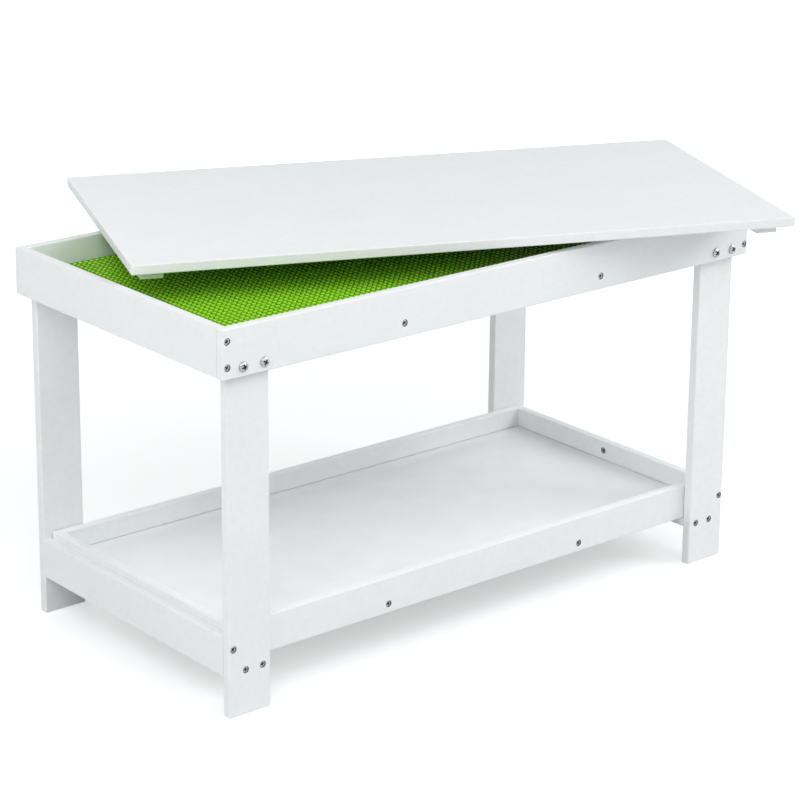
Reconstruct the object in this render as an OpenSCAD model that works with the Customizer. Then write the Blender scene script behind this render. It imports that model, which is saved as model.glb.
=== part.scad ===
// A low play table for children, built from white boards. A shallow tray with a studded
// mat for toy bricks stands on four board legs. A loose lid lies askew across the tray's
// rim, and a second tray near the floor stores the toys.
// The origin is on the floor, midway between the four feet. X runs along the table to
// the right, as seen from the front, Y runs to the back and Z runs up.

/* [Table] */
// Length of the table, over the play tray
table_len = 820; // [760:5:880]
// Width of the table, over the play tray
table_wid = 420; // [390:5:450]
// Height of the play tray's rim above the floor
rim_h = 468; // [440:2:500]
// Thickness of the boards
board_t = 12; // [11:0.5:14]
// Radius of the eased edges of the boards
edge_r = 1.5; // [0.5:0.1:2.5]
// Thickness of the floor panels of both trays
panel_t = 3; // [2.5:0.5:4]
// Depth of the grooves that hold the floor panels
groove_depth = 4.5; // [3:0.5:5]
// Clearance of a floor panel at the bottom of its groove
groove_play = 0.5; // [0.3:0.1:1]
// Clearance of a floor panel below the top of its groove
groove_lift = 0.6; // [0.2:0.1:0.8]

/* [Play tray] */
// Height of the play tray's rails
rail_w = 58; // [54:1:66]
// Depth from the rim to the floor panel
tray_depth = 32; // [28:1:35]
// Distance from the table's middle to the two battens under each floor panel
batten_x = 154; // [120:2:180]
// Width of the battens under the floor panels
batten_w = 30; // [20:1:40]
// Distance from a rail's edges to the screws at the tray's corners
corner_screw_edge = 14; // [12:1:15]
// Thickness of the mat, from its underside to the tops of its studs
mat_t = 3.8; // [3:0.2:5]
// Clearance between the mat and the rails
mat_gap = 0.5; // [0.3:0.1:0.8]

/* [Legs] */
// Width of the legs
leg_w = 58; // [50:1:66]
// Distance from the end of the table to the legs
leg_inset = 13; // [13:0.5:18]
// Clearance between a leg's top and the floor panel
leg_top_gap = 0.5; // [0.3:0.1:0.8]
// Distance from a leg's edges to its two bolts
leg_bolt_edge = 14.5; // [12:0.5:17]

/* [End frames] */
// Height of the stretchers above the floor
stretcher_z = 48; // [40:1:60]
// Height of the stretcher boards themselves
stretcher_w = 49; // [45:1:54]
// Distance from a stretcher's top to its screws
stretcher_screw_down = 13; // [10:1:16]
// Height of a bearer's underside above the stretcher's lower edge
bearer_lift = 1; // [0.5:0.5:3]
// Distance from a bearer's edges to its screws
bearer_screw_edge = 11; // [9:1:14]

/* [Storage tray] */
// Height of the storage tray's rails
storage_rail_w = 45; // [43:1:52]
// Depth from the storage tray's rim to its floor panel
storage_depth = 26; // [24:1:27]
// Thickness of the two battens under the storage floor
storage_batten_t = 9; // [8:0.5:10]
// Distance from a storage rail's edges to the screws at its corners
storage_screw_edge = 11; // [9:1:12]
// Clearance between the storage tray and the legs
storage_gap = 1; // [0.5:0.1:1.5]
// Distance from a stretcher's top down to the screw that fixes the storage tray
fixing_screw_down = 4; // [3.5:0.5:7]

/* [Lid] */
// Width of the two battens under the lid
lid_batten_w = 28; // [22:1:36]
// Clearance between a lid batten and the end rail when the lid is seated
lid_end_gap = 2; // [1:0.5:4]
// Clearance between a lid batten's ends and the long rails when the lid is seated
lid_side_gap = 10; // [6:1:14]
// Turn of the lid on the rim, in degrees, seen from above
lid_turn = -23; // [-26:0.5:-20]
// Place of the lid's middle to the right of the table's middle
lid_x = 67; // [55:1:75]
// Place of the lid's middle behind the table's middle
lid_y = 22; // [15:1:30]

/* [Screws] */
// Diameter of the wood screws
screw_d = 4; // [3.5:0.1:4.2]
// Diameter of the wood screws' countersunk heads
screw_head_d = 8.4; // [7.5:0.1:9]
// Depth of a screw head below the board's face
screw_sink = 0.8; // [0.2:0.1:1]
// Length of the screws at the corners of both trays
corner_screw_len = 38; // [30:1:45]
// Length of the screws that hold the battens
batten_screw_len = 32; // [26:1:40]
// Length of the screws through the legs
leg_screw_len = 35; // [28:1:40]
// Depth of a fixing screw in the stretcher
fixing_screw_bite = 9; // [7:0.5:9.5]
// Radial clearance round the screws and bolts
screw_fit = 0.15; // [0.1:0.05:0.3]

/* [Bolts] */
// Diameter of the leg bolts
bolt_d = 6; // [5:0.5:6.5]
// Diameter of the leg bolts' heads
bolt_head_d = 12; // [11:0.5:14]
// Height of the leg bolts' heads
bolt_head_h = 3.5; // [3:0.1:5]
// Height of the straight rim round a bolt's domed head
bolt_rim_h = 1.2; // [0.8:0.1:1.6]
// Outer diameter of the insert nuts in the legs
insert_d = 9; // [8:0.5:10]
// Length of the insert nuts
insert_len = 9; // [7:0.5:9.5]

/* [Hidden] */
$fn = 48;
// Length and blunt end of a wood screw's point
tip_len = 5;
tip_r = 0.6;
// How far a cut runs past the face that it opens
past = 1;
// Room behind a screw's point and behind an insert nut
end_room = 0.5;
// Width of a cross slot for its screw, and its depth for a sunk and for a domed head
slot_share = 0.25;
sunk_slot_share = 0.8;
domed_slot_share = 0.6;

// Outer and inner faces of the play tray
half_len = table_len / 2;
half_wid = table_wid / 2;
in_len = half_len - board_t;
in_wid = half_wid - board_t;

// Heights of the play tray
rail_z = rim_h - rail_w;
tray_floor_z = rim_h - tray_depth - panel_t;
leg_h = tray_floor_z - leg_top_gap;
leg_bolt_z = (rail_z + leg_h) / 2;

// Places of the legs, stretchers and bearers, at the right end of the table
leg_x1 = half_len - leg_inset;
leg_x0 = leg_x1 - leg_w;
leg_y = in_wid - board_t;
bearer_z = stretcher_z + bearer_lift;
bearer_w = leg_w - board_t;
stretcher_top = stretcher_z + stretcher_w;

// Sizes and heights of the storage tray
store_half_len = leg_x1 - board_t;
store_half_wid = leg_y - storage_gap;
store_in_len = store_half_len - board_t;
store_in_wid = store_half_wid - board_t;
store_z = bearer_z + board_t;
store_floor_z = store_z + storage_rail_w - storage_depth - panel_t;

// Sizes of the screws, bolts and their holes
screw_r = screw_d / 2;
head_r = screw_head_d / 2;
head_h = head_r - screw_r;
fixing_screw_len = board_t + fixing_screw_bite;
bolt_len = board_t + insert_len - past;

// Places of the fasteners on the long faces, as X and Z
corner_spots = [for (sx = [-1, 1], z = [rail_z + corner_screw_edge, rim_h - corner_screw_edge])
    [sx * (half_len - board_t / 2), z]];
batten_spots = [for (sx = [-1, 1]) [sx * batten_x, tray_floor_z - board_t / 2]];
bolt_spots = [for (sx = [-1, 1], x = [leg_x0 + leg_bolt_edge, leg_x1 - leg_bolt_edge])
    [sx * x, leg_bolt_z]];
stretcher_spots = [for (sx = [-1, 1])
    [sx * (leg_x1 - board_t / 2), stretcher_top - stretcher_screw_down]];
bearer_spots = [for (sx = [-1, 1],
    x = [leg_x0 + bearer_screw_edge, leg_x1 - board_t - bearer_screw_edge])
    [sx * x, bearer_z + board_t / 2]];
store_corner_spots = [for (sx = [-1, 1],
    z = [store_z + storage_screw_edge, store_z + storage_rail_w - storage_screw_edge])
    [sx * (store_half_len - board_t / 2), z]];
store_batten_spots = [for (sx = [-1, 1])
    [sx * batten_x, store_floor_z - storage_batten_t / 2]];

// Finishes
white_paint = "#eef1f2";
panel_paint = "#e6eaec";
lime_plastic = "#7ac21c";
zinc = "#b4b9bd";

// ---- Boards ----

// A rectangle about its middle, with its corners rounded
module eased_rectangle(w, h) {
    square([w - 2 * edge_r, h], center = true);
    square([w, h - 2 * edge_r], center = true);
    for (x = [-1, 1], y = [-1, 1])
        translate([x * (w / 2 - edge_r), y * (h / 2 - edge_r)])
            circle(edge_r);
}

// A board about its middle with all twelve edges eased: what three rounded bars share
module eased_board(size) {
    intersection() {
        linear_extrude(size.z, center = true)
            eased_rectangle(size.x, size.y);
        rotate([90, 0, 0])
            linear_extrude(size.y, center = true)
                eased_rectangle(size.x, size.z);
        rotate([90, 0, 90])
            linear_extrude(size.x, center = true)
                eased_rectangle(size.y, size.z);
    }
}

// A board that runs along Y between two others, so its ends are cut square
module cross_board(size) {
    rotate([90, 0, 0])
        linear_extrude(size.y, center = true)
            eased_rectangle(size.x, size.z);
}

// ---- Screws and bolts, driven along +Z from a board's face at Z = 0 ----

// The two crossed slots of a screwdriver recess
module cross_recess(reach, slot, depth) {
    for (turn = [0, 90])
        rotate(turn)
            cube([reach, slot, 2 * depth], center = true);
}

module wood_screw(len) {
    difference() {
        translate([0, 0, screw_sink])
            rotate_extrude()
                polygon([[0, 0], [head_r, 0], [screw_r, head_h], [screw_r, len - tip_len],
                    [tip_r, len], [0, len]]);
        translate([0, 0, screw_sink])
            cross_recess(head_r, screw_d * slot_share, head_h * sunk_slot_share);
    }
}

// The countersunk hole that a wood screw leaves in all the boards it passes
module screw_hole(len) {
    head_end = screw_sink + head_h;
    hole_end = screw_sink + len + end_room;
    rotate_extrude()
        polygon([[0, -past], [head_r + screw_fit, -past], [head_r + screw_fit, screw_sink],
            [screw_r + screw_fit, head_end], [screw_r + screw_fit, hole_end], [0, hole_end]]);
}

// A machine bolt with a domed head that stands on the board's face
module leg_bolt() {
    dome_h = bolt_head_h - bolt_rim_h;
    dome_r = (pow(bolt_head_d / 2, 2) + pow(dome_h, 2)) / (2 * dome_h);
    difference() {
        union() {
            intersection() {
                translate([0, 0, -bolt_head_h])
                    cylinder(h = bolt_head_h, d = bolt_head_d);
                translate([0, 0, dome_r - bolt_head_h])
                    sphere(r = dome_r);
            }
            cylinder(h = bolt_len, d = bolt_d);
        }
        translate([0, 0, -bolt_head_h])
            cross_recess(bolt_d, bolt_d * slot_share, bolt_head_h * domed_slot_share);
    }
}

module bolt_hole() {
    translate([0, 0, -past])
        cylinder(h = board_t + 2 * past, r = bolt_d / 2 + screw_fit);
}

// The nut sits in a blind hole in the leg, flush with the face that meets the rail
module insert_nut() {
    difference() {
        cylinder(h = insert_len, d = insert_d);
        translate([0, 0, -past])
            cylinder(h = insert_len + 2 * past, r = bolt_d / 2 + screw_fit);
    }
}

module insert_hole() {
    translate([0, 0, -past])
        cylinder(h = insert_len + end_room + past, r = insert_d / 2 + screw_fit);
}

// Children at each spot on the front face at -y, driven to the back
module from_front(spots, y) {
    for (spot = spots)
        translate([spot.x, -y, spot.y])
            rotate([-90, 0, 0])
                children();
}

// Children at each spot on the front face and on the rear one, driven inwards
module from_both_sides(spots, y) {
    from_front(spots, y)
        children();
    mirror([0, 1, 0])
        from_front(spots, y)
            children();
}

// The screw that ties the storage tray to the right stretcher, driven to the right
module at_right_fixing() {
    translate([store_in_len, 0, stretcher_top - fixing_screw_down])
        rotate([0, 90, 0])
            children();
}

// ---- Play tray ----

// A groove along X, cut in a long rail's inner face and stopped before its ends
module long_groove(half_length, y, z) {
    translate([-half_length - groove_depth, y - groove_depth, z])
        cube([2 * (half_length + groove_depth), groove_depth + past, panel_t + groove_lift]);
}

// A groove along Y, cut right through an end rail's inner face at the right
module end_groove(half_width, x, z) {
    translate([x - past, -half_width - past, z])
        cube([groove_depth + past, 2 * (half_width + past), panel_t + groove_lift]);
}

module front_rail() {
    color(white_paint)
        difference() {
            translate([0, board_t / 2 - half_wid, rail_z + rail_w / 2])
                eased_board([table_len, board_t, rail_w]);
            long_groove(in_len, -in_wid, tray_floor_z);
            from_front(corner_spots, half_wid)
                screw_hole(corner_screw_len);
            from_front(batten_spots, half_wid)
                screw_hole(batten_screw_len);
            from_front(bolt_spots, half_wid)
                bolt_hole();
        }
}

module rear_rail() {
    mirror([0, 1, 0])
        front_rail();
}

module right_end_rail() {
    color(white_paint)
        difference() {
            translate([half_len - board_t / 2, 0, rail_z + rail_w / 2])
                cross_board([board_t, 2 * in_wid, rail_w]);
            end_groove(in_wid, in_len, tray_floor_z);
            from_both_sides(corner_spots, half_wid)
                screw_hole(corner_screw_len);
        }
}

module left_end_rail() {
    mirror([1, 0, 0])
        right_end_rail();
}

// A thin panel held in the grooves of the four rails round it
module floor_panel(half_length, half_width, z) {
    tongue = groove_depth - groove_play;
    translate([-half_length - tongue, -half_width - tongue, z])
        cube([2 * (half_length + tongue), 2 * (half_width + tongue), panel_t]);
}

module tray_floor() {
    color(panel_paint)
        floor_panel(in_len, in_wid, tray_floor_z);
}

module tray_batten_right() {
    color(white_paint)
        difference() {
            translate([batten_x, 0, tray_floor_z - board_t / 2])
                cross_board([batten_w, 2 * in_wid, board_t]);
            from_both_sides(batten_spots, half_wid)
                screw_hole(batten_screw_len);
        }
}

module tray_batten_left() {
    mirror([1, 0, 0])
        tray_batten_right();
}

// The mat covers the tray's floor from rail to rail, up to the tops of its studs
module stud_mat() {
    color(lime_plastic)
        translate([0, 0, tray_floor_z + panel_t])
            linear_extrude(mat_t)
                square([2 * (in_len - mat_gap), 2 * (in_wid - mat_gap)], center = true);
}

// ---- Legs ----

module front_right_leg() {
    color(white_paint)
        difference() {
            translate([(leg_x0 + leg_x1) / 2, board_t / 2 - in_wid, leg_h / 2])
                eased_board([leg_w, board_t, leg_h]);
            from_front(bolt_spots, in_wid)
                insert_hole();
            from_front(concat(stretcher_spots, bearer_spots), in_wid)
                screw_hole(leg_screw_len);
        }
}

module front_left_leg() {
    mirror([1, 0, 0])
        front_right_leg();
}

module rear_right_leg() {
    mirror([0, 1, 0])
        front_right_leg();
}

module rear_left_leg() {
    mirror([1, 0, 0])
        rear_right_leg();
}

// ---- End frames ----

// The stretcher stands on edge between two legs, flush with their outer edges
module right_stretcher() {
    color(white_paint)
        difference() {
            translate([leg_x1 - board_t / 2, 0, stretcher_z + stretcher_w / 2])
                cross_board([board_t, 2 * leg_y, stretcher_w]);
            from_both_sides(stretcher_spots, in_wid)
                screw_hole(leg_screw_len);
            at_right_fixing()
                screw_hole(fixing_screw_len);
        }
}

module left_stretcher() {
    mirror([1, 0, 0])
        right_stretcher();
}

// The bearer lies flat inside the stretcher, and the storage tray rests on it
module right_bearer() {
    color(white_paint)
        difference() {
            translate([leg_x0 + bearer_w / 2, 0, bearer_z + board_t / 2])
                cross_board([bearer_w, 2 * leg_y, board_t]);
            from_both_sides(bearer_spots, in_wid)
                screw_hole(leg_screw_len);
        }
}

module left_bearer() {
    mirror([1, 0, 0])
        right_bearer();
}

// ---- Storage tray ----

module storage_front_rail() {
    color(white_paint)
        difference() {
            translate([0, board_t / 2 - store_half_wid, store_z + storage_rail_w / 2])
                eased_board([2 * store_half_len, board_t, storage_rail_w]);
            long_groove(store_in_len, -store_in_wid, store_floor_z);
            from_front(store_corner_spots, store_half_wid)
                screw_hole(corner_screw_len);
            from_front(store_batten_spots, store_half_wid)
                screw_hole(batten_screw_len);
        }
}

module storage_rear_rail() {
    mirror([0, 1, 0])
        storage_front_rail();
}

module storage_right_rail() {
    color(white_paint)
        difference() {
            translate([store_half_len - board_t / 2, 0, store_z + storage_rail_w / 2])
                cross_board([board_t, 2 * store_in_wid, storage_rail_w]);
            end_groove(store_in_wid, store_in_len, store_floor_z);
            from_both_sides(store_corner_spots, store_half_wid)
                screw_hole(corner_screw_len);
            at_right_fixing()
                screw_hole(fixing_screw_len);
        }
}

module storage_left_rail() {
    mirror([1, 0, 0])
        storage_right_rail();
}

module storage_floor() {
    color(panel_paint)
        floor_panel(store_in_len, store_in_wid, store_floor_z);
}

module storage_batten_right() {
    color(white_paint)
        difference() {
            translate([batten_x, 0, store_floor_z - storage_batten_t / 2])
                cross_board([batten_w, 2 * store_in_wid, storage_batten_t]);
            from_both_sides(store_batten_spots, store_half_wid)
                screw_hole(batten_screw_len);
        }
}

module storage_batten_left() {
    mirror([1, 0, 0])
        storage_batten_right();
}

// ---- Lid ----

// The lid rests on its two battens, turned and shifted on the rim
module lid_place() {
    translate([lid_x, lid_y, rim_h])
        rotate(lid_turn)
            children();
}

module lid_panel() {
    color(white_paint)
        lid_place()
            translate([0, 0, board_t * 3 / 2])
                eased_board([table_len, table_wid, board_t]);
}

// With the lid seated, its battens drop inside the rim and keep it from sliding
module lid_batten(side) {
    color(white_paint)
        lid_place()
            translate([side * (in_len - lid_end_gap - lid_batten_w / 2), 0, board_t / 2])
                eased_board([lid_batten_w, 2 * (in_wid - lid_side_gap), board_t]);
}

module lid_batten_left() {
    lid_batten(-1);
}

module lid_batten_right() {
    lid_batten(1);
}

// ---- Fasteners ----

module tray_corner_screws() {
    color(zinc)
        from_both_sides(corner_spots, half_wid)
            wood_screw(corner_screw_len);
}

module tray_batten_screws() {
    color(zinc)
        from_both_sides(batten_spots, half_wid)
            wood_screw(batten_screw_len);
}

module leg_bolts() {
    color(zinc)
        from_both_sides(bolt_spots, half_wid)
            leg_bolt();
}

module leg_insert_nuts() {
    color(zinc)
        from_both_sides(bolt_spots, in_wid)
            insert_nut();
}

module stretcher_screws() {
    color(zinc)
        from_both_sides(stretcher_spots, in_wid)
            wood_screw(leg_screw_len);
}

module bearer_screws() {
    color(zinc)
        from_both_sides(bearer_spots, in_wid)
            wood_screw(leg_screw_len);
}

module storage_corner_screws() {
    color(zinc)
        from_both_sides(store_corner_spots, store_half_wid)
            wood_screw(corner_screw_len);
}

module storage_batten_screws() {
    color(zinc)
        from_both_sides(store_batten_spots, store_half_wid)
            wood_screw(batten_screw_len);
}

module storage_fixing_screws() {
    color(zinc)
        for (side = [0, 1])
            mirror([side, 0, 0])
                at_right_fixing()
                    wood_screw(fixing_screw_len);
}

front_rail();
rear_rail();
left_end_rail();
right_end_rail();
tray_floor();
tray_batten_left();
tray_batten_right();
stud_mat();
front_left_leg();
front_right_leg();
rear_left_leg();
rear_right_leg();
left_stretcher();
right_stretcher();
left_bearer();
right_bearer();
storage_front_rail();
storage_rear_rail();
storage_left_rail();
storage_right_rail();
storage_floor();
storage_batten_left();
storage_batten_right();
lid_panel();
lid_batten_left();
lid_batten_right();
tray_corner_screws();
tray_batten_screws();
leg_bolts();
leg_insert_nuts();
stretcher_screws();
bearer_screws();
storage_corner_screws();
storage_batten_screws();
storage_fixing_screws();
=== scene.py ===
import math

import bpy
import numpy as np
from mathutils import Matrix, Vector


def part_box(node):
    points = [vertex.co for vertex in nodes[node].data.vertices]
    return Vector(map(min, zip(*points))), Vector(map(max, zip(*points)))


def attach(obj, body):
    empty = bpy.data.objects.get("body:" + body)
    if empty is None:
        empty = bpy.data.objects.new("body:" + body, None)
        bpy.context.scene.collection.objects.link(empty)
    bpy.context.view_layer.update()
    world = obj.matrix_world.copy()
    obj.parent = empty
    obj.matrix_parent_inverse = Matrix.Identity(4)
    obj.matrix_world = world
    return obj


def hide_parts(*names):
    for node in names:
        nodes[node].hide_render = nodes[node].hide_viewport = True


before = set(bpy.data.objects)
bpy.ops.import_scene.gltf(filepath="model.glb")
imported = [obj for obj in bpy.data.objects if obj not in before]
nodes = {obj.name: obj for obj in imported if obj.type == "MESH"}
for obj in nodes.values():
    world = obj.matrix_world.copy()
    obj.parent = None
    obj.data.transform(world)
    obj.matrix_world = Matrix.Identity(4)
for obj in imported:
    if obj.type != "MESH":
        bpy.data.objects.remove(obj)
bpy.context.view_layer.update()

# ---- Boards of the play tray, legs, end frames, storage tray and lid ----
# Medium-density fibreboard, 12 mm thick, sawn to size, its edges eased and the whole board
# sprayed with white satin lacquer. The boards are screwed edge to face. The solids come from
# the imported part, so this section only finishes them.

BOARDS_FACING_X = (
    "left_end_rail", "right_end_rail", "left_stretcher", "right_stretcher",
    "storage_left_rail", "storage_right_rail",
)
BOARDS_FACING_Y = (
    "front_rail", "rear_rail", "front_left_leg", "front_right_leg",
    "rear_left_leg", "rear_right_leg", "storage_front_rail", "storage_rear_rail",
)
BOARDS_FACING_Z = (
    "tray_batten_left", "tray_batten_right", "left_bearer", "right_bearer",
    "storage_batten_left", "storage_batten_right",
    "lid_panel", "lid_batten_left", "lid_batten_right",
)


def linear(hex_colour):
    """sRGB hex to linear red, green, blue and alpha: c / 12.92 up to 0.04045, and
    ((c + 0.055) / 1.055) ** 2.4 above it."""
    c = np.array([int(hex_colour[i:i + 2], 16) for i in (1, 3, 5)]) / 255
    bent = ((c + 0.055) / 1.055) ** 2.4
    return tuple(float(v) for v in np.where(c <= 0.04045, c / 12.92, bent)) + (1.0,)


def add(tree, kind, values=(), links=(), **settings):
    """Adds a node to a material, with its settings, its inputs' values and its links."""
    node = tree.nodes.new(kind)
    for name, value in settings.items():
        setattr(node, name, value)
    for name, value in dict(values).items():
        node.inputs[name].default_value = value
    for name, output in dict(links).items():
        tree.links.new(output, node.inputs[name])
    return node


def new_material(name):
    """An empty material, its node tree, and the output node that stands in it."""
    material = bpy.data.materials.new(name)
    material.use_nodes = True
    tree = material.node_tree
    tree.nodes.clear()
    return material, tree, tree.nodes.new("ShaderNodeOutputMaterial")


def finish_nodes(names, material):
    """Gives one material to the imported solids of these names."""
    for name in names:
        mesh = nodes[name].data
        mesh.materials.clear()
        mesh.materials.append(material)


def spans(places):
    """Lowest and highest place of each run of places that lie less than 5 mm apart."""
    line = np.unique(places)
    cuts = np.flatnonzero(np.diff(line) > 0.005)
    return np.stack([line[np.append(0, cuts + 1)], line[np.append(cuts, -1)]], -1)


def driven(name, way):
    """Where a packed group of screws or bolts sits. They are driven along way, X or Y, and
    stand in pairs mirrored in the table's middle. For those driven towards the plus side it
    gives the start and end on that way, the head's radius, and each one's place across and
    up."""
    points = np.array([v.co for v in nodes[name].data.vertices])
    axis = "XY".index(way)
    half = points[(points[:, axis] > 0) == (way == "X")]
    across = spans(half[:, 1 - axis])
    up = spans(half[:, 2])
    spots = [(float(a), float(z)) for a in across.mean(1) for z in up.mean(1)]
    start, end = half[:, axis].min(), half[:, axis].max()
    return float(start), float(end), float(np.ptp(up[0])) / 2, spots


def chain(tree, operation, values):
    """The least or the most of several values, taken two at a time."""
    result = values[0]
    for value in values[1:]:
        result = add(tree, "ShaderNodeMath", links={0: result, 1: value},
                     operation=operation).outputs[0]
    return result


# How straight a face looks along an axis, from 0 to 1: a board's own face beside the sloped
# wall of a countersink, and a broad face beside the board's eased edges
LEVEL = 0.97
BROAD = 0.7
COUNTERSINK_R = 0.0045


def countersink_walls(tree, place, steep, way, screws):
    """1 on the walls round the heads of these screws, and 0 elsewhere. A wall lies within a
    countersink's radius of a head's middle, and looks less along the screw than the board's
    face does. The screws are mirrored in the table's middle, so |x|, |y|, |z| finds each."""
    folded = add(tree, "ShaderNodeVectorMath", links={0: place.outputs["Object"]},
                 operation="ABSOLUTE")
    heads = [(start, spot) for start, end, head_r, spots in (driven(s, way) for s in screws)
             for spot in spots if spot[0] > -0.001]
    gaps = []
    for start, (across, up) in heads:
        head = (abs(start), across, up) if way == "X" else (across, abs(start), up)
        gaps.append(add(tree, "ShaderNodeVectorMath", {1: head}, {0: folded.outputs[0]},
                        operation="DISTANCE").outputs["Value"])
    near = add(tree, "ShaderNodeMath", {1: COUNTERSINK_R},
               {0: chain(tree, "MINIMUM", gaps)}, operation="LESS_THAN")
    level = add(tree, "ShaderNodeMath", {1: LEVEL}, {0: steep}, operation="GREATER_THAN")
    wall = add(tree, "ShaderNodeMath", links={0: near.outputs[0], 1: level.outputs[0]},
               operation="SUBTRACT", use_clamp=True)
    return wall.outputs[0]


def within(tree, place, middle, half):
    """1 inside the box with this middle and half size, and 0 outside it."""
    offset = add(tree, "ShaderNodeVectorMath", {1: middle}, {0: place.outputs["Object"]},
                 operation="SUBTRACT")
    folded = add(tree, "ShaderNodeVectorMath", links={0: offset.outputs[0]},
                 operation="ABSOLUTE")
    over = add(tree, "ShaderNodeVectorMath", {1: half}, {0: folded.outputs[0]},
               operation="SUBTRACT")
    parts = add(tree, "ShaderNodeSeparateXYZ", links={"Vector": over.outputs[0]})
    inside = add(tree, "ShaderNodeMath", {1: 0.0},
                 {0: chain(tree, "MAXIMUM", list(parts.outputs))}, operation="LESS_THAN")
    return inside.outputs[0]


# A floor panel's edges stand this deep in the grooves, which reach past them and over its
# top. The slack keeps the grooves' walls inside the box that marks them.
PANEL_HOLD = 0.004
GROOVE_PAST = 0.0005
GROOVE_OVER = 0.0006
SLACK = 0.0001


def groove_walls(tree, place, panel):
    """1 on the walls of the grooves that hold this floor panel, and 0 elsewhere: all that
    lies within the grooves' outer box but not in the tray between the rails."""
    low, high = (np.array(corner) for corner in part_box(panel))
    middle, half = (low + high) / 2, (high - low) / 2
    past, over, hold = GROOVE_PAST + SLACK, GROOVE_OVER + SLACK, PANEL_HOLD - 2 * SLACK
    grooves = within(tree, place, middle, half + (past, past, over))
    tray = within(tree, place, middle, half + (-hold, -hold, over + SLACK))
    wall = add(tree, "ShaderNodeMath", links={0: grooves, 1: tray}, operation="SUBTRACT",
               use_clamp=True)
    return wall.outputs[0]


def lacquered_fibreboard(name, face_axis, screws=(), panels=()):
    """White satin lacquer on fibreboard. The broad faces, which look along face_axis, are
    smooth with a faint orange peel. The sawn edges drink the lacquer, so they stay duller
    and show a fine felted grain. To the eye: an even, neutral off-white with soft highlights.
    The countersinks of these screws and the grooves of these panels were cut after spraying, so
    their walls are unlacquered board, brown; that brown is darker than raw board, as painted
    shade in these hollows."""
    material, tree, out = new_material(name)
    place = add(tree, "ShaderNodeTexCoord")
    facing = add(tree, "ShaderNodeSeparateXYZ", links={"Vector": place.outputs["Normal"]})
    steep = add(tree, "ShaderNodeMath", links={0: facing.outputs[face_axis]},
                operation="ABSOLUTE")
    broad = add(tree, "ShaderNodeMath", {1: BROAD}, {0: steep.outputs[0]},
                operation="GREATER_THAN")
    # Sprayed film: cloudy over 60 mm, mottled over 7 mm, orange peel every 2.5 mm
    cloud = add(tree, "ShaderNodeTexNoise", {"Scale": 1 / 0.060, "Detail": 2.0},
                {"Vector": place.outputs["Object"]})
    mottle = add(tree, "ShaderNodeTexNoise", {"Scale": 1 / 0.007, "Detail": 3.0},
                 {"Vector": place.outputs["Object"]})
    peel = add(tree, "ShaderNodeTexNoise", {"Scale": 1 / 0.0025, "Detail": 1.0},
               {"Vector": place.outputs["Object"]})
    # Fibres of a sawn edge are finer than a pixel, so they are drawn 0.8 mm apart
    felt = add(tree, "ShaderNodeTexNoise", {"Scale": 1 / 0.0008, "Detail": 3.0},
               {"Vector": place.outputs["Object"]})
    both = add(tree, "ShaderNodeMath", {1: 0.5}, {0: cloud.outputs["Fac"],
               2: mottle.outputs["Fac"]}, operation="MULTIPLY_ADD")
    tint = add(tree, "ShaderNodeValToRGB", links={"Fac": both.outputs[0]})
    tint.color_ramp.elements[0].position = 0.45
    tint.color_ramp.elements[0].color = linear("#ebedec")
    tint.color_ramp.elements[1].position = 1.05
    tint.color_ramp.elements[1].color = linear("#f0f2f1")
    colour = tint.outputs["Color"]
    if screws:
        # Sockets 6 and 7 of a mix are its two colours, and output 2 is what they give
        # Countersink and groove walls: unlacquered board, painted darker than raw board as
        # painted shade in the hollows
        unlacquered_and_shaded_walls = [countersink_walls(tree, place, steep.outputs[0], face_axis, screws)]
        unlacquered_and_shaded_walls += [groove_walls(tree, place, panel) for panel in panels]
        colour = add(tree, "ShaderNodeMix", {7: linear("#4a3b2d")},
                     {0: chain(tree, "MAXIMUM", unlacquered_and_shaded_walls), 6: colour}, data_type="RGBA").outputs[2]
    dull = add(tree, "ShaderNodeMapRange", {"To Min": 0.66, "To Max": 0.54},
               {"Value": broad.outputs[0]})
    spread = add(tree, "ShaderNodeMath", {1: 0.10}, {0: mottle.outputs["Fac"],
                 2: dull.outputs[0]}, operation="MULTIPLY_ADD")
    relief = add(tree, "ShaderNodeMix", links={"Factor": broad.outputs[0],
                 "A": felt.outputs["Fac"], "B": peel.outputs["Fac"]})
    bump = add(tree, "ShaderNodeBump", {"Strength": 0.35, "Distance": 0.00003},
               {"Height": relief.outputs["Result"]})
    lacquer = add(tree, "ShaderNodeBsdfPrincipled", {"IOR": 1.5},
                  {"Base Color": colour, "Roughness": spread.outputs[0],
                   "Normal": bump.outputs["Normal"]})
    tree.links.new(lacquer.outputs[0], out.inputs["Surface"])
    return material


SCREWS_ALONG_X = ("storage_fixing_screws",)
SCREWS_ALONG_Y = (
    "tray_corner_screws", "tray_batten_screws", "stretcher_screws", "bearer_screws",
    "storage_corner_screws", "storage_batten_screws",
)
FLOOR_PANELS = ("tray_floor", "storage_floor")
finish_nodes(BOARDS_FACING_X, lacquered_fibreboard(
    "lacquered_fibreboard_facing_x", "X", SCREWS_ALONG_X, FLOOR_PANELS))
finish_nodes(BOARDS_FACING_Y, lacquered_fibreboard(
    "lacquered_fibreboard_facing_y", "Y", SCREWS_ALONG_Y, FLOOR_PANELS))
finish_nodes(BOARDS_FACING_Z, lacquered_fibreboard("lacquered_fibreboard_facing_z", "Z"))

# ---- Floor panels of both trays ----
# Thin hardboard, 3 mm, faced with white foil. Each slides into the grooves of four rails.
# The foil is printed matt and a little greyer than the lacquer.


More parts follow.
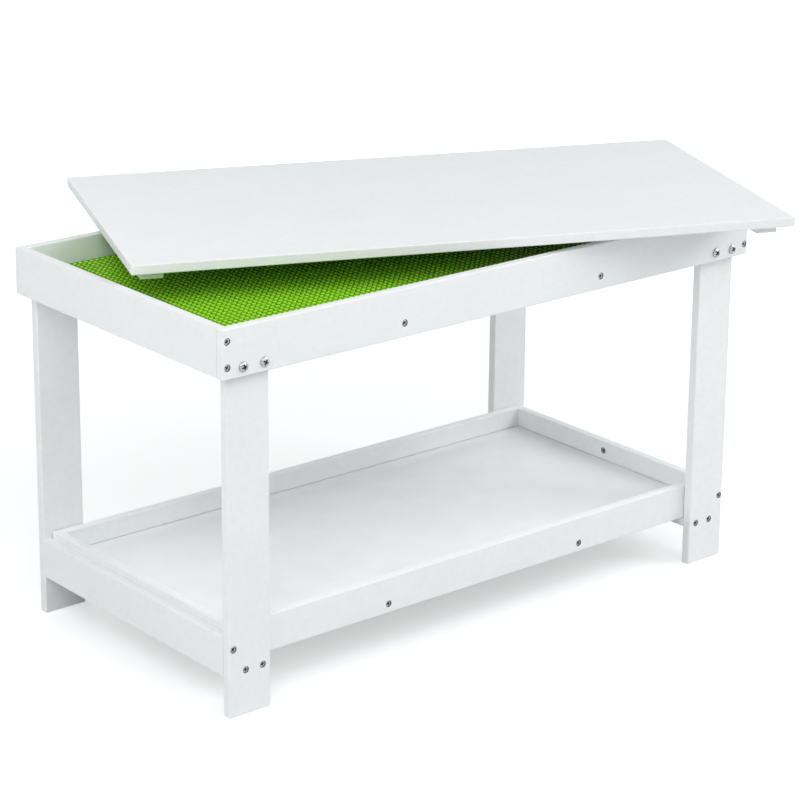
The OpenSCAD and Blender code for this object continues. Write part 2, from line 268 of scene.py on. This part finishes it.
def faced_hardboard():
    """White melamine foil on hardboard: matt, a touch grey, with a fine leathery emboss
    that breaks up the highlights."""
    material, tree, out = new_material("foil_faced_hardboard")
    place = add(tree, "ShaderNodeTexCoord")
    cloud = add(tree, "ShaderNodeTexNoise", {"Scale": 1 / 0.045, "Detail": 3.0},
                {"Vector": place.outputs["Object"]})
    emboss = add(tree, "ShaderNodeTexNoise", {"Scale": 1 / 0.0015, "Detail": 2.0},
                 {"Vector": place.outputs["Object"]})
    tint = add(tree, "ShaderNodeValToRGB", links={"Fac": cloud.outputs["Fac"]})
    tint.color_ramp.elements[0].position = 0.3
    tint.color_ramp.elements[0].color = linear("#e6e8e7")
    tint.color_ramp.elements[1].position = 0.7
    tint.color_ramp.elements[1].color = linear("#ebedec")
    dull = add(tree, "ShaderNodeMapRange", {"To Min": 0.56, "To Max": 0.68},
               {"Value": emboss.outputs["Fac"]})
    bump = add(tree, "ShaderNodeBump", {"Strength": 0.3, "Distance": 0.00003},
               {"Height": emboss.outputs["Fac"]})
    foil = add(tree, "ShaderNodeBsdfPrincipled", {"IOR": 1.5},
               {"Base Color": tint.outputs["Color"], "Roughness": dull.outputs[0],
                "Normal": bump.outputs["Normal"]})
    tree.links.new(foil.outputs[0], out.inputs["Surface"])
    return material


finish_nodes(FLOOR_PANELS, faced_hardboard())

# ---- Brick mat ----
# One moulding of lime green plastic that lies on the play tray's floor panel, held by the
# rails round it: a 2 mm sheet with round studs on a square grid of 8 mm for toy bricks.

PITCH = 0.008
STUD_R = 0.00245
STUD_DRAFT = 0.00005
STUD_H = 0.0018
STUDS_X = 98
STUDS_Y = 48


def stud_sheet(low, high):
    """Vertices and faces of the mat. The grid of half pitches x = i p / 2, y = j p / 2 gives
    each cell a ring of 8 points on its square. Inside it lie the stud's foot ring,
    centre + r (cos t, sin t) for t = 0, 45, ... 315 degrees, and its rim ring, drawn in by
    the draft and raised by the stud's height. The grid's outer points are carried straight
    out to the mat's edge and then down to its underside."""
    wide, deep = 2 * STUDS_X + 1, 2 * STUDS_Y + 1
    i, j = np.meshgrid(np.arange(wide), np.arange(deep), indexing="ij")
    used = (i % 2 == 0) | (j % 2 == 0)
    number = np.cumsum(used).reshape(used.shape) - 1
    sheet_z = high.z - STUD_H
    x = (low.x + high.x) / 2 + (i - STUDS_X) * PITCH / 2
    y = (low.y + high.y) / 2 + (j - STUDS_Y) * PITCH / 2
    grid = np.stack([x, y, np.full(x.shape, sheet_z)], -1)[used]

    turn = np.radians(np.arange(8) * 45)
    step = np.rint(np.stack([np.cos(turn), np.sin(turn)], -1)).astype(int)
    ci, cj = (a.ravel() for a in np.meshgrid(
        np.arange(1, wide, 2), np.arange(1, deep, 2), indexing="ij"))
    square = number[ci[:, None] + step[:, 0], cj[:, None] + step[:, 1]]
    centre = np.stack([x[ci, cj], y[ci, cj]], -1)
    count = len(centre)

    def ring(radius, z):
        """The 8 points of every stud at this radius and height."""
        flat = centre[:, None] + radius * np.stack([np.cos(turn), np.sin(turn)], -1)
        return np.concatenate([flat, np.full((count, 8, 1), z)], -1).reshape(-1, 3)

    foot = len(grid) + np.arange(count * 8).reshape(count, 8)
    rim = foot + count * 8
    quads = [
        np.stack([a, b, np.roll(b, -1, 1), np.roll(a, -1, 1)], -1).reshape(-1, 4)
        for a, b in ((square, foot), (foot, rim))
    ]

    # Outline of the grid, anticlockwise from its lowest corner
    edge = np.concatenate([number[:-1, 0], number[-1, :-1], number[:0:-1, -1],
                           number[0, :0:-1]])
    outline = grid[edge].copy()
    for axis, (lo, hi) in enumerate(((low.x, high.x), (low.y, high.y))):
        line = outline[:, axis]
        outline[:, axis] = np.where(line == line.min(), lo,
                                    np.where(line == line.max(), hi, line))
    under = outline.copy()
    under[:, 2] = low.z
    first = len(grid) + 2 * count * 8
    top_edge = first + np.arange(len(edge))
    low_edge = top_edge + len(edge)
    quads += [
        np.stack([a, np.roll(a, -1), np.roll(b, -1), b], -1)[:, ::-1]
        for a, b in ((edge, top_edge), (top_edge, low_edge))
    ]
    points = np.concatenate([grid, ring(STUD_R, sheet_z), ring(STUD_R - STUD_DRAFT, high.z),
                             outline, under])
    faces = np.concatenate(quads).tolist() + rim.tolist() + [low_edge[::-1].tolist()]
    return points, faces


def new_piece(name, points, faces, material, body):
    """A mesh object at the origin with its place in its mesh, riding on a body."""
    mesh = bpy.data.meshes.new(name)
    mesh.from_pydata(points.tolist(), [], faces)
    mesh.materials.append(material)
    piece = bpy.data.objects.new(name, mesh)
    bpy.context.scene.collection.objects.link(piece)
    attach(piece, body)
    return piece


def moulded_polyethylene(sheet_z, top_z):
    """Lime green polyethylene, injection moulded: semi-gloss, coloured right through, with faint
    flow marks over 30 mm. Its colour is painted by height: the studs' tops a bright green as
    painted highlight, their sides and the sheet between a deep green as painted shade. The sides
    and the sheet are also matter than the tops."""
    material, tree, out = new_material("moulded_polyethylene")
    place = add(tree, "ShaderNodeTexCoord")
    flow = add(tree, "ShaderNodeTexNoise", {"Scale": 1 / 0.030, "Detail": 3.0},
               {"Vector": place.outputs["Object"]})
    skin = add(tree, "ShaderNodeTexNoise", {"Scale": 1 / 0.0006, "Detail": 1.0},
               {"Vector": place.outputs["Object"]})
    spot = add(tree, "ShaderNodeSeparateXYZ", links={"Vector": place.outputs["Object"]})
    # Height up the studs, from 0 on the sheet to 1 on the tops: it sets the painted light and the
    # gloss
    stud_height_share = add(tree, "ShaderNodeMapRange", {"From Min": sheet_z, "From Max": top_z},
                 {"Value": spot.outputs["Z"]})
    level = add(tree, "ShaderNodeMath", {1: 0.16}, {0: flow.outputs["Fac"],
                2: stud_height_share.outputs[0]}, operation="MULTIPLY_ADD")
    # Painted light by height: deep green as painted shade on the sheet and low on the studs,
    # bright green as painted highlight on their tops
    tint = add(tree, "ShaderNodeValToRGB", links={"Fac": level.outputs[0]})
    tint.color_ramp.elements[0].position = 0.05
    tint.color_ramp.elements[0].color = linear("#519e07")
    tint.color_ramp.elements[1].position = 1.0
    tint.color_ramp.elements[1].color = linear("#b9f23f")
    gloss = add(tree, "ShaderNodeMapRange", {"To Min": 0.60, "To Max": 0.34},
                {"Value": stud_height_share.outputs[0]})
    sheen = add(tree, "ShaderNodeMapRange", {"To Min": 0.12, "To Max": 0.5},
                {"Value": stud_height_share.outputs[0]})
    bump = add(tree, "ShaderNodeBump", {"Strength": 0.2, "Distance": 0.00001},
               {"Height": skin.outputs["Fac"]})
    plastic = add(tree, "ShaderNodeBsdfPrincipled", {"IOR": 1.5},
                  {"Base Color": tint.outputs["Color"], "Roughness": gloss.outputs[0],
                   "Specular IOR Level": sheen.outputs[0], "Normal": bump.outputs["Normal"]})
    tree.links.new(plastic.outputs[0], out.inputs["Surface"])
    return material


mat_low, mat_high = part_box("stud_mat")
mat = new_piece("studded_brick_mat", *stud_sheet(mat_low, mat_high),
                moulded_polyethylene(mat_high.z - STUD_H, mat_high.z), "table")
mat.data.shade_smooth()
mat.data.set_sharp_from_angle(angle=math.radians(60))
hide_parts("stud_mat")

# ---- Screws, bolts and insert nuts ----
# Steel, cold formed and zinc plated, with pressed cross recesses and rolled threads. The
# countersunk wood screws hold the boards. The domed machine bolts pass the long rails into
# insert nuts let into the legs.

SCREW_R = 0.002
SCREW_TIP = 0.005
SCREW_TIP_R = 0.0006
SCREW_NECK_R = 0.0016
SCREW_PITCH = 0.002
SCREW_CORE = 0.68
SCREW_CROSS_R = 0.0026
SCREW_CROSS_FLOOR_R = 0.0011
SCREW_CROSS_DEPTH = 0.0021
SCREW_EDGE_W = 0.0004
SCREW_EDGE_H = 0.00025
BOLT_R = 0.003
BOLT_RIM = 0.0012
BOLT_PITCH = 0.001
BOLT_CORE = 0.8
BOLT_CROSS_R = 0.0033
BOLT_CROSS_FLOOR_R = 0.0014
BOLT_CROSS_DEPTH = 0.0026
BOLT_EDGE_H = 0.0002
BOLT_NECK_H = 0.0005
RECESS_LIP = 0.0001
RECESS_TIP_H = 0.0005
ROWS_A_PITCH = 6
# Half a wing's width as a share of its reach, and the turns of a ring's points: eight to
# each quarter, with one on each edge of a wing's end
WING = 0.28
WING_END = math.asin(WING)
QUARTER = np.array([-0.52, -WING_END, -WING_END / 2, 0, WING_END / 2, WING_END, 0.52,
                    math.pi / 4])
AROUND = (QUARTER + np.arange(4)[:, None] * math.pi / 2).ravel()


def wings(reach):
    """Outline of a cross recess: the smaller of its reach and WING reach / |sin a|, where a
    is the turn from the nearest wing's middle line."""
    a = (AROUND + math.pi / 4) % (math.pi / 2) - math.pi / 4
    return np.minimum(reach, WING * reach / np.maximum(np.abs(np.sin(a)), WING))


def thread(start, end, pitch, envelope, core):
    """Rings of a rolled thread, whose crest climbs as a helix. Core is the radius of its root
    as a share of the crest's. The radius is
    envelope(z) (core + (1 - core) (0.5 + 0.5 cos(2 pi z / pitch - turn)) ** 3)."""
    heights = np.linspace(start, end, round((end - start) / pitch * ROWS_A_PITCH))
    return [
        (envelope(z) * (core + (1 - core)
                        * (0.5 + 0.5 * np.cos(2 * math.pi * z / pitch - AROUND)) ** 3), z, 0)
        for z in heights
    ]


def recess(reach, floor_reach, depth, top, rim_shade):
    """Depth of a cross recess's pointed bottom, and its rings from the floor to the mouth:
    radius, depth below the head's top, and how deep in shade."""
    # The shade numbers are painted shade: near black on the recess's floor and walls, less at its
    # mouth
    return depth + RECESS_TIP_H, [
        (wings(floor_reach), depth, 1.0),
        (wings(reach - RECESS_LIP), top + RECESS_LIP, 0.8),
        (wings(reach), top, rim_shade),
    ]


def wood_screw(head_r, length):
    """Depth of the recess's bottom, and the rings of a countersunk screw from there over the
    head to the point."""
    def outline(z):
        return np.interp(z, (length - SCREW_TIP, length), (SCREW_R, SCREW_TIP_R))

    bottom, cross = recess(SCREW_CROSS_R, SCREW_CROSS_FLOOR_R, SCREW_CROSS_DEPTH, 0.0, 0.3)
    return bottom, [
        *cross,
        (0.75 * head_r, 0.0, 0.0),
        # Painted shade across the bevel round the head, from little at its inner edge to full at
        # the rim
        (head_r - SCREW_EDGE_W, 0.0, 0.1),
        (head_r, SCREW_EDGE_H, 1.0),
        (SCREW_NECK_R, head_r - SCREW_NECK_R, 0.0),
        *thread(head_r, length, SCREW_PITCH, outline, SCREW_CORE),
    ]


def leg_bolt(head_r, head_h, length):
    """The same of a bolt, whose dome is a cap of a ball: z = ball - sqrt(ball^2 - r^2)."""
    dome_h = head_h - BOLT_RIM
    ball = (head_r ** 2 + dome_h ** 2) / (2 * dome_h)

    def dome(r):
        return ball - np.sqrt(ball ** 2 - r ** 2)

    mouth = wings(BOLT_CROSS_R)
    bottom, cross = recess(BOLT_CROSS_R, BOLT_CROSS_FLOOR_R, BOLT_CROSS_DEPTH, dome(mouth), 0.2)
    outer = [mouth + share * (0.98 * head_r - mouth) for share in (0.4, 0.8, 1)]
    return bottom, [
        *cross,
        *[(r, dome(r), 0.0) for r in outer],
        (head_r, dome_h + BOLT_EDGE_H, 0.0),
        # Painted shade at the head's foot against the rail and under it
        (head_r, head_h, 0.4),
        (BOLT_R, head_h, 1.0),
        *thread(head_h + BOLT_NECK_H, length, BOLT_PITCH, lambda z: BOLT_R, BOLT_CORE),
    ]


def turned(bottom, rings):
    """Points, faces and shade of the closed surface of these rings round Z, with a pole at
    the recess's bottom and another at the last ring's height."""
    count, sides = len(rings), len(AROUND)
    r = np.stack([np.broadcast_to(ring[0], sides) for ring in rings])
    z = np.stack([np.broadcast_to(ring[1], sides) for ring in rings])
    grid = np.stack([r * np.cos(AROUND), r * np.sin(AROUND), z], -1).reshape(-1, 3)
    points = np.concatenate([[(0, 0, bottom)], grid, [(0, 0, z[-1, 0])]])
    ring = 1 + np.arange(count * sides).reshape(count, sides)
    follow = np.roll(ring, -1, 1)
    quads = np.stack([ring[:-1], follow[:-1], follow[1:], ring[1:]], -1).reshape(-1, 4)
    first = np.stack([np.zeros(sides, int), follow[0], ring[0]], -1)
    last = np.stack([ring[-1], follow[-1], np.full(sides, len(points) - 1)], -1)
    shade = np.concatenate([[1.0], np.repeat([ring[2] for ring in rings], sides), [0.0]])
    return points, quads.tolist() + first.tolist() + last.tolist(), shade


def driven_group(name, way, bottom, rings, material):
    """One object of a fastener repeated at every place of a packed group, which it stands
    for. Each is turned about its own axis, as the driver left it."""
    points, faces, shade = turned(bottom, rings)
    start, end, head_r, spots = driven(name, way)
    chance = np.random.default_rng(len(name))
    placed = []
    for side, (across, up) in [(side, spot) for side in (1, -1) for spot in spots]:
        foot = (side * start, across, up) if way == "X" else (across, side * start, up)
        along = np.array([side, 0, 0] if way == "X" else [0, side, 0])
        turn = chance.uniform(0, math.pi / 2)
        wing = math.cos(turn) * np.cross((0, 0, 1), along) + math.sin(turn) * np.array((0, 0, 1))
        placed.append(points @ np.stack([wing, np.cross(along, wing), along]) + foot)
    repeated = [[i + k * len(points) for i in face] for k in range(len(placed)) for face in faces]
    piece = new_piece("formed_" + name, np.concatenate(placed), repeated, material, "table")
    piece.data.shade_smooth()
    piece.data.set_sharp_from_angle(angle=math.radians(35))
    # Painted shade of each point, which the material reads
    dark = piece.data.attributes.new("shade", "FLOAT", "POINT")
    dark.data.foreach_set("value", np.tile(shade, len(placed)))
    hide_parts(name)


def zinc_plate(name, recessed):
    """Bright zinc plate on steel: a cool grey metal with small clouded patches where the plate
    passivated, so highlights are sharp in places and soft in others. When recessed, the pieces'
    shade attribute paints the cross recesses and the bevel round a head near black, as painted
    shade."""
    material, tree, out = new_material(name)
    place = add(tree, "ShaderNodeTexCoord")
    patch = add(tree, "ShaderNodeTexNoise", {"Scale": 1 / 0.002, "Detail": 3.0},
                {"Vector": place.outputs["Object"]})
    tint = add(tree, "ShaderNodeValToRGB", links={"Fac": patch.outputs["Fac"]})
    tint.color_ramp.elements[0].position = 0.3
    tint.color_ramp.elements[0].color = linear("#8f9498")
    tint.color_ramp.elements[1].position = 0.7
    tint.color_ramp.elements[1].color = linear("#b4b8bb")
    colour = tint.outputs["Color"]
    if recessed:
        shade = add(tree, "ShaderNodeAttribute", attribute_name="shade")
        # Painted shade: near black where the shade attribute is high, in the cross recesses and
        # on the bevel round a head
        colour = add(tree, "ShaderNodeMix", {7: linear("#1b1d1f")},
                     {0: shade.outputs["Fac"], 6: colour}, data_type="RGBA").outputs[2]
    gloss = add(tree, "ShaderNodeMapRange", {"To Min": 0.16, "To Max": 0.32},
                {"Value": patch.outputs["Fac"]})
    plate = add(tree, "ShaderNodeBsdfPrincipled", {"Metallic": 1.0},
                {"Base Color": colour, "Roughness": gloss.outputs[0]})
    tree.links.new(plate.outputs[0], out.inputs["Surface"])
    return material


finish_nodes(("leg_insert_nuts",), zinc_plate("bright_zinc_plate", False))
zinc_with_painted_shade = zinc_plate("bright_zinc_plate_with_painted_shade", True)
for way, group in (("X", SCREWS_ALONG_X), ("Y", SCREWS_ALONG_Y)):
    for name in group:
        start, end, head_r, spots = driven(name, way)
        driven_group(name, way, *wood_screw(head_r, end - start), zinc_with_painted_shade)
start, end, head_r, spots = driven("leg_bolts", "Y")
face_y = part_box("front_rail")[0].y
driven_group("leg_bolts", "Y", *leg_bolt(head_r, face_y - start, end - start), zinc_with_painted_shade)

# ---- Studio ----
# A sweep of white paper under a white surround. The floor takes the table's soft shadow, and
# shows as pure white where none lies. Softboxes stand all round, the strongest to the right.

FLOOR_GREY = 0.80
FLOOR_LIFT = 0.39


def studio_floor():
    """White paper. What the camera and gloss see has light of its own added, so that the
    unshaded floor is white while other rays meet plain paper. The added light rises from
    0.9 m out to 2.2 m, where the lamps' light fades and no shadow reaches."""
    material, tree, out = new_material("studio_floor")
    place = add(tree, "ShaderNodeTexCoord")
    away = add(tree, "ShaderNodeVectorMath", links={0: place.outputs["Object"]},
               operation="LENGTH")
    lift = add(tree, "ShaderNodeMapRange",
               {"From Min": 0.9, "From Max": 2.2, "To Min": FLOOR_LIFT, "To Max": 1.0},
               {"Value": away.outputs["Value"]}, interpolation_type="SMOOTHSTEP")
    paper = add(tree, "ShaderNodeBsdfDiffuse", {"Color": (FLOOR_GREY,) * 3 + (1.0,)})
    glow = add(tree, "ShaderNodeEmission", links={"Strength": lift.outputs[0]})
    lifted = add(tree, "ShaderNodeAddShader", links={0: paper.outputs[0],
                 1: glow.outputs[0]})
    seen = seen_directly(tree)
    mix = add(tree, "ShaderNodeMixShader", links={0: seen, 1: paper.outputs[0],
              2: lifted.outputs[0]})
    tree.links.new(mix.outputs[0], out.inputs["Surface"])
    return material


def seen_directly(tree):
    """1 for rays from the camera, off gloss or through clear things, and 0 for the rest."""
    ray = add(tree, "ShaderNodeLightPath")
    first = add(tree, "ShaderNodeMath", links={0: ray.outputs["Is Camera Ray"],
                1: ray.outputs["Is Glossy Ray"]}, operation="MAXIMUM")
    both = add(tree, "ShaderNodeMath", links={0: first.outputs[0],
               1: ray.outputs["Is Transmission Ray"]}, operation="MAXIMUM")
    return both.outputs[0]


floor_mesh = bpy.data.meshes.new("studio_floor")
floor_mesh.from_pydata([(-8, -8, 0), (8, -8, 0), (8, 8, 0), (-8, 8, 0)], [],
                       [(0, 1, 2, 3)])
floor_mesh.materials.append(studio_floor())
floor = bpy.data.objects.new("studio_floor", floor_mesh)
bpy.context.scene.collection.objects.link(floor)

world = bpy.data.worlds.new("studio_surround")
world.use_nodes = True
world.node_tree.nodes.clear()
surround_out = add(world.node_tree, "ShaderNodeOutputWorld")
room = add(world.node_tree, "ShaderNodeBackground", {"Strength": 0.175})
white = add(world.node_tree, "ShaderNodeBackground", {"Strength": 1.0})
room.inputs["Color"].default_value = (1.0, 0.985, 0.94, 1.0)
white.inputs["Color"].default_value = (1.0, 1.0, 1.0, 1.0)
shown = add(world.node_tree, "ShaderNodeMixShader",
            links={0: seen_directly(world.node_tree), 1: room.outputs[0],
                   2: white.outputs[0]})
world.node_tree.links.new(shown.outputs[0], surround_out.inputs["Surface"])
bpy.context.scene.world = world


def softbox(name, watts, size, place, target):
    """A square area lamp at place that points at target."""
    lamp = bpy.data.lights.new(name, "AREA")
    lamp.energy = watts
    lamp.color = (0.985, 1.0, 1.03)
    lamp.size = size
    lamp_object = bpy.data.objects.new(name, lamp)
    bpy.context.scene.collection.objects.link(lamp_object)
    lamp_object.location = place
    aim = np.array(target) - np.array(place)
    lamp_object.rotation_euler = (
        math.atan2(math.hypot(aim[0], aim[1]), -aim[2]), 0.0,
        math.atan2(-aim[0], aim[1]),
    )


MIDDLE = (0.0, 0.0, 0.3)
softbox("left_top_softbox", 19.5, 1.8, (-1.5, -0.6, 2.1), MIDDLE)
softbox("left_front_softbox", 22.5, 1.8, (-2.0, -2.0, 2.2), MIDDLE)
softbox("front_softbox", 13.5, 1.8, (0.0, -2.6, 2.2), MIDDLE)
softbox("right_front_softbox", 48.0, 1.8, (2.2, -1.8, 2.1), MIDDLE)
softbox("left_softbox", 16.5, 1.8, (-3.0, 0.3, 1.0), MIDDLE)
softbox("back_softbox", 24.0, 1.8, (0.3, 3.0, 1.6), MIDDLE)
softbox("right_softbox", 24.0, 1.8, (3.0, 0.0, 1.0), MIDDLE)

# ---- Camera ----
# A long lens in front of the left corner and a little above the lid, as in the photograph.

camera = bpy.data.cameras.new("camera")
camera.sensor_width = 36.0
camera.lens = 122.25
camera.shift_y = -0.12
camera.dof.use_dof = False
camera_object = bpy.data.objects.new("camera", camera)
bpy.context.scene.collection.objects.link(camera_object)
camera_object.location = (-2.0476, -2.4773, 1.3522)
camera_object.rotation_euler = [math.radians(a) for a in (73.010, -0.473, -39.614)]
bpy.context.scene.camera = camera_object
bpy.context.scene.view_settings.view_transform = "Standard"
